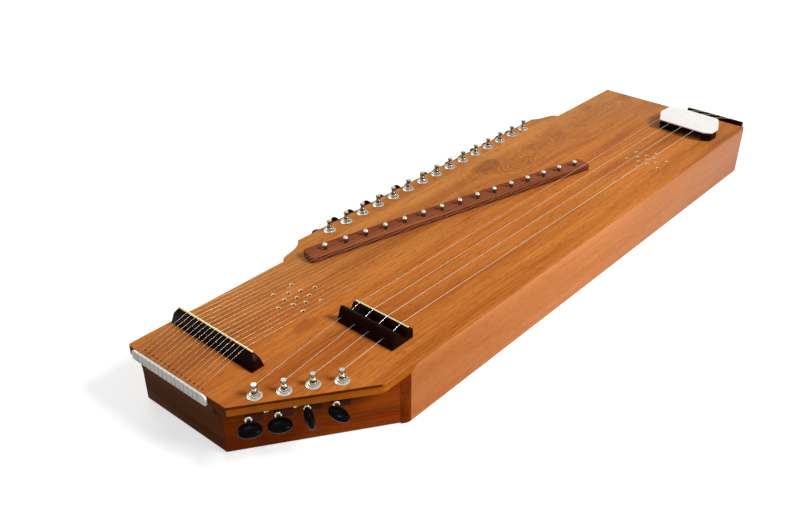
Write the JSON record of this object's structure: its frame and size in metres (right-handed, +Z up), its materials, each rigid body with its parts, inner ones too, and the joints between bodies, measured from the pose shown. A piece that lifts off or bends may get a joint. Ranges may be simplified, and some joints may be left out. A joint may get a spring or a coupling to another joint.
{
  "type": "swarmandal",
  "caption": "Box zither with melody strings from a tall bridge to a slanted pin bar, drone strings over a flat bridge, and geared tuners along one side and a corner.",
  "frame": {"origin": "middle of the flat underside, halfway along the body's length and halfway across its width without the wing", "axes": "+X along the strings towards the tailpiece, +Y to the back where the wing with its tuners is, +Z up through the top"},
  "size_m": [0.9294, 0.2751, 0.0919],
  "materials": {
    "top_wood": "satin lacquer over honey brown figured wood",
    "plank_wood": "satin lacquer over honey brown wood",
    "side_wood": "satin lacquer over reddish brown wood",
    "black_wood": "smooth near-black hardwood",
    "bar_wood": "satin dark reddish brown hardwood",
    "white_edge": "white bone-like strip, satin",
    "white_plate": "white bone-like plate, satin",
    "string_steel": "bright drawn wire",
    "tuner_metal": "nickel-chrome plated",
    "post_metal": "nickel-chrome plated",
    "button_black": "glossy black"
  },
  "bodies": {
    "sound_box": {"soundboard": "top_wood", "head_plank": "plank_wood", "wing_plank": "plank_wood", "base_board": "side_wood", "front_wall": "side_wood", "back_wall": "side_wood", "left_wall": "side_wood", "slant_wall": "side_wood", "tail_wall": "side_wood", "edge_strip": "white_edge", "melody_bridge": "black_wood", "pin_bar": "bar_wood", "drone_nut": "black_wood", "jawari_base": "black_wood", "jawari_plate": "white_plate", "tailpiece": "black_wood", "melody_strings": "string_steel", "drone_strings": "string_steel", "tuner_body_1": "tuner_metal", "tuner_body_2": "tuner_metal", "tuner_body_3": "tuner_metal", "tuner_body_4": "tuner_metal"},
    "post_front_1": {"post_front_1": "post_metal"},
    "key_front_1": {"key_front_1": "button_black"},
    "post_front_2": {"post_front_2": "post_metal"},
    "key_front_2": {"key_front_2": "button_black"},
    "post_front_3": {"post_front_3": "post_metal"},
    "key_front_3": {"key_front_3": "button_black"},
    "post_front_4": {"post_front_4": "post_metal"},
    "key_front_4": {"key_front_4": "button_black"},
    "post_wing_1": {"post_wing_1": "post_metal"},
    "key_wing_1": {"key_wing_1": "button_black"},
    "post_wing_2": {"post_wing_2": "post_metal"},
    "key_wing_2": {"key_wing_2": "button_black"},
    "post_wing_3": {"post_wing_3": "post_metal"},
    "key_wing_3": {"key_wing_3": "button_black"},
    "post_wing_4": {"post_wing_4": "post_metal"},
    "key_wing_4": {"key_wing_4": "button_black"},
    "post_wing_5": {"post_wing_5": "post_metal"},
    "key_wing_5": {"key_wing_5": "button_black"},
    "post_wing_6": {"post_wing_6": "post_metal"},
    "key_wing_6": {"key_wing_6": "button_black"},
    "post_wing_7": {"post_wing_7": "post_metal"},
    "key_wing_7": {"key_wing_7": "button_black"},
    "post_wing_8": {"post_wing_8": "post_metal"},
    "key_wing_8": {"key_wing_8": "button_black"},
    "post_wing_9": {"post_wing_9": "post_metal"},
    "key_wing_9": {"key_wing_9": "button_black"},
    "post_wing_10": {"post_wing_10": "post_metal"},
    "key_wing_10": {"key_wing_10": "button_black"},
    "post_wing_11": {"post_wing_11": "post_metal"},
    "key_wing_11": {"key_wing_11": "button_black"},
    "post_wing_12": {"post_wing_12": "post_metal"},
    "key_wing_12": {"key_wing_12": "button_black"},
    "post_wing_13": {"post_wing_13": "post_metal"},
    "key_wing_13": {"key_wing_13": "button_black"},
    "post_wing_14": {"post_wing_14": "post_metal"},
    "key_wing_14": {"key_wing_14": "button_black"},
    "post_wing_15": {"post_wing_15": "post_metal"},
    "key_wing_15": {"key_wing_15": "button_black"}
  },
  "joints": [
    {"name": "key_front_1_turn", "type": "hinge", "parent": "sound_box", "child": "key_front_1", "pos_m": [-0.43239, -0.03359, 0.055], "axis": [-0.576, -0.8174, 0], "continuous": true},
    {"name": "post_front_1_turn", "type": "hinge", "parent": "sound_box", "child": "post_front_1", "pos_m": [-0.42561, -0.03837, 0.055], "axis": [0, 0, 1], "continuous": true},
    {"name": "key_front_2_turn", "type": "hinge", "parent": "sound_box", "child": "key_front_2", "pos_m": [-0.40987, -0.04885, 0.055], "axis": [-0.576, -0.8174, 0], "continuous": true},
    {"name": "post_front_2_turn", "type": "hinge", "parent": "sound_box", "child": "post_front_2", "pos_m": [-0.40309, -0.05363, 0.055], "axis": [0, 0, 1], "continuous": true},
    {"name": "key_front_3_turn", "type": "hinge", "parent": "sound_box", "child": "key_front_3", "pos_m": [-0.38591, -0.06207, 0.055], "axis": [-0.576, -0.8174, 0], "continuous": true},
    {"name": "post_front_3_turn", "type": "hinge", "parent": "sound_box", "child": "post_front_3", "pos_m": [-0.37912, -0.06685, 0.055], "axis": [0, 0, 1], "continuous": true},
    {"name": "key_front_4_turn", "type": "hinge", "parent": "sound_box", "child": "key_front_4", "pos_m": [-0.36396, -0.07815, 0.055], "axis": [-0.576, -0.8174, 0], "continuous": true},
    {"name": "post_front_4_turn", "type": "hinge", "parent": "sound_box", "child": "post_front_4", "pos_m": [-0.35718, -0.08293, 0.055], "axis": [0, 0, 1], "continuous": true},
    {"name": "key_wing_1_turn", "type": "hinge", "parent": "sound_box", "child": "key_wing_1", "pos_m": [-0.1576, 0.126, 0.055], "axis": [0, 1, 0], "continuous": true},
    {"name": "post_wing_1_turn", "type": "hinge", "parent": "sound_box", "child": "post_wing_1", "pos_m": [-0.1659, 0.126, 0.055], "axis": [0, 0, 1], "continuous": true},
    {"name": "key_wing_2_turn", "type": "hinge", "parent": "sound_box", "child": "key_wing_2", "pos_m": [-0.129, 0.126, 0.055], "axis": [0, 1, 0], "continuous": true},
    {"name": "post_wing_2_turn", "type": "hinge", "parent": "sound_box", "child": "post_wing_2", "pos_m": [-0.1373, 0.126, 0.055], "axis": [0, 0, 1], "continuous": true},
    {"name": "key_wing_3_turn", "type": "hinge", "parent": "sound_box", "child": "key_wing_3", "pos_m": [-0.1004, 0.126, 0.055], "axis": [0, 1, 0], "continuous": true},
    {"name": "post_wing_3_turn", "type": "hinge", "parent": "sound_box", "child": "post_wing_3", "pos_m": [-0.1087, 0.126, 0.055], "axis": [0, 0, 1], "continuous": true},
    {"name": "key_wing_4_turn", "type": "hinge", "parent": "sound_box", "child": "key_wing_4", "pos_m": [-0.0718, 0.126, 0.055], "axis": [0, 1, 0], "continuous": true},
    {"name": "post_wing_4_turn", "type": "hinge", "parent": "sound_box", "child": "post_wing_4", "pos_m": [-0.0801, 0.126, 0.055], "axis": [0, 0, 1], "continuous": true},
    {"name": "key_wing_5_turn", "type": "hinge", "parent": "sound_box", "child": "key_wing_5", "pos_m": [-0.0432, 0.126, 0.055], "axis": [0, 1, 0], "continuous": true},
    {"name": "post_wing_5_turn", "type": "hinge", "parent": "sound_box", "child": "post_wing_5", "pos_m": [-0.0515, 0.126, 0.055], "axis": [0, 0, 1], "continuous": true},
    {"name": "key_wing_6_turn", "type": "hinge", "parent": "sound_box", "child": "key_wing_6", "pos_m": [-0.0146, 0.126, 0.055], "axis": [0, 1, 0], "continuous": true},
    {"name": "post_wing_6_turn", "type": "hinge", "parent": "sound_box", "child": "post_wing_6", "pos_m": [-0.0229, 0.126, 0.055], "axis": [0, 0, 1], "continuous": true},
    {"name": "key_wing_7_turn", "type": "hinge", "parent": "sound_box", "child": "key_wing_7", "pos_m": [0.014, 0.126, 0.055], "axis": [0, 1, 0], "continuous": true},
    {"name": "post_wing_7_turn", "type": "hinge", "parent": "sound_box", "child": "post_wing_7", "pos_m": [0.0057, 0.126, 0.055], "axis": [0, 0, 1], "continuous": true},
    {"name": "key_wing_8_turn", "type": "hinge", "parent": "sound_box", "child": "key_wing_8", "pos_m": [0.0426, 0.126, 0.055], "axis": [0, 1, 0], "continuous": true},
    {"name": "post_wing_8_turn", "type": "hinge", "parent": "sound_box", "child": "post_wing_8", "pos_m": [0.0343, 0.126, 0.055], "axis": [0, 0, 1], "continuous": true},
    {"name": "key_wing_9_turn", "type": "hinge", "parent": "sound_box", "child": "key_wing_9", "pos_m": [0.0712, 0.126, 0.055], "axis": [0, 1, 0], "continuous": true},
    {"name": "post_wing_9_turn", "type": "hinge", "parent": "sound_box", "child": "post_wing_9", "pos_m": [0.0629, 0.126, 0.055], "axis": [0, 0, 1], "continuous": true},
    {"name": "key_wing_10_turn", "type": "hinge", "parent": "sound_box", "child": "key_wing_10", "pos_m": [0.0998, 0.126, 0.055], "axis": [0, 1, 0], "continuous": true},
    {"name": "post_wing_10_turn", "type": "hinge", "parent": "sound_box", "child": "post_wing_10", "pos_m": [0.0915, 0.126, 0.055], "axis": [0, 0, 1], "continuous": true},
    {"name": "key_wing_11_turn", "type": "hinge", "parent": "sound_box", "child": "key_wing_11", "pos_m": [0.1284, 0.126, 0.055], "axis": [0, 1, 0], "continuous": true},
    {"name": "post_wing_11_turn", "type": "hinge", "parent": "sound_box", "child": "post_wing_11", "pos_m": [0.1201, 0.126, 0.055], "axis": [0, 0, 1], "continuous": true},
    {"name": "key_wing_12_turn", "type": "hinge", "parent": "sound_box", "child": "key_wing_12", "pos_m": [0.157, 0.126, 0.055], "axis": [0, 1, 0], "continuous": true},
    {"name": "post_wing_12_turn", "type": "hinge", "parent": "sound_box", "child": "post_wing_12", "pos_m": [0.1487, 0.126, 0.055], "axis": [0, 0, 1], "continuous": true},
    {"name": "key_wing_13_turn", "type": "hinge", "parent": "sound_box", "child": "key_wing_13", "pos_m": [0.1856, 0.126, 0.055], "axis": [0, 1, 0], "continuous": true},
    {"name": "post_wing_13_turn", "type": "hinge", "parent": "sound_box", "child": "post_wing_13", "pos_m": [0.1773, 0.126, 0.055], "axis": [0, 0, 1], "continuous": true},
    {"name": "key_wing_14_turn", "type": "hinge", "parent": "sound_box", "child": "key_wing_14", "pos_m": [0.2142, 0.126, 0.055], "axis": [0, 1, 0], "continuous": true},
    {"name": "post_wing_14_turn", "type": "hinge", "parent": "sound_box", "child": "post_wing_14", "pos_m": [0.2059, 0.126, 0.055], "axis": [0, 0, 1], "continuous": true},
    {"name": "key_wing_15_turn", "type": "hinge", "parent": "sound_box", "child": "key_wing_15", "pos_m": [0.2428, 0.126, 0.055], "axis": [0, 1, 0], "continuous": true},
    {"name": "post_wing_15_turn", "type": "hinge", "parent": "sound_box", "child": "post_wing_15", "pos_m": [0.2345, 0.126, 0.055], "axis": [0, 0, 1], "continuous": true}
  ],
  "couplings": [
    {"joint": "post_front_1_turn", "follows": "key_front_1_turn", "ratio": -0.066667},
    {"joint": "post_front_2_turn", "follows": "key_front_2_turn", "ratio": -0.066667},
    {"joint": "post_front_3_turn", "follows": "key_front_3_turn", "ratio": -0.066667},
    {"joint": "post_front_4_turn", "follows": "key_front_4_turn", "ratio": -0.066667},
    {"joint": "post_wing_1_turn", "follows": "key_wing_1_turn", "ratio": -0.066667},
    {"joint": "post_wing_2_turn", "follows": "key_wing_2_turn", "ratio": -0.066667},
    {"joint": "post_wing_3_turn", "follows": "key_wing_3_turn", "ratio": -0.066667},
    {"joint": "post_wing_4_turn", "follows": "key_wing_4_turn", "ratio": -0.066667},
    {"joint": "post_wing_5_turn", "follows": "key_wing_5_turn", "ratio": -0.066667},
    {"joint": "post_wing_6_turn", "follows": "key_wing_6_turn", "ratio": -0.066667},
    {"joint": "post_wing_7_turn", "follows": "key_wing_7_turn", "ratio": -0.066667},
    {"joint": "post_wing_8_turn", "follows": "key_wing_8_turn", "ratio": -0.066667},
    {"joint": "post_wing_9_turn", "follows": "key_wing_9_turn", "ratio": -0.066667},
    {"joint": "post_wing_10_turn", "follows": "key_wing_10_turn", "ratio": -0.066667},
    {"joint": "post_wing_11_turn", "follows": "key_wing_11_turn", "ratio": -0.066667},
    {"joint": "post_wing_12_turn", "follows": "key_wing_12_turn", "ratio": -0.066667},
    {"joint": "post_wing_13_turn", "follows": "key_wing_13_turn", "ratio": -0.066667},
    {"joint": "post_wing_14_turn", "follows": "key_wing_14_turn", "ratio": -0.066667},
    {"joint": "post_wing_15_turn", "follows": "key_wing_15_turn", "ratio": -0.066667}
  ]
}
